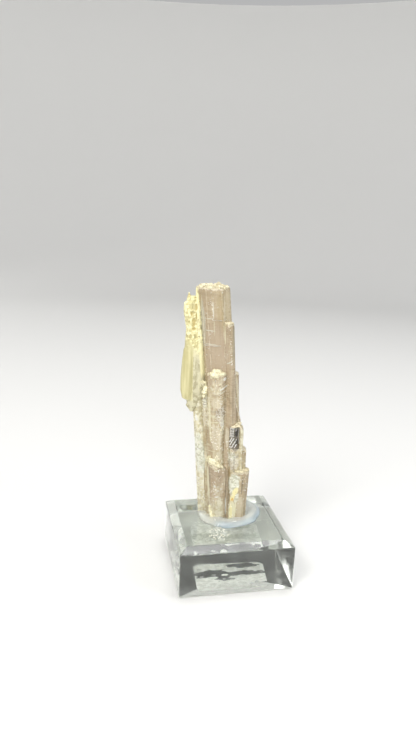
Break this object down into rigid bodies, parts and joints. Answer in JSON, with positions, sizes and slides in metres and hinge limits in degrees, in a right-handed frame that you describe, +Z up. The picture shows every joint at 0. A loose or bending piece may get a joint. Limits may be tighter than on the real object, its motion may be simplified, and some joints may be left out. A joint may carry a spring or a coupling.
{
  "type": "tourmaline crystal cluster",
  "caption": "Upright cluster of slender striated tourmaline prisms with a pale crust, set in clear putty on a square bevelled clear acrylic base with a blank label underneath.",
  "frame": {"origin": "middle of the square base, on the surface that it stands on", "axes": "+Z up along the crystals, -Y towards the base's front face, +X to the right of someone who looks at that face"},
  "size_m": [0.0318, 0.0318, 0.0827],
  "materials": {
    "clear_acrylic": "polished",
    "white_label": "satin",
    "clear_putty": "gloss",
    "tourmaline": "gloss"
  },
  "bodies": {
    "root": {"acrylic_base": "clear_acrylic", "base_label": "white_label", "mounting_putty": "clear_putty", "tourmaline_cluster": "tourmaline"}
  },
  "joints": []
}
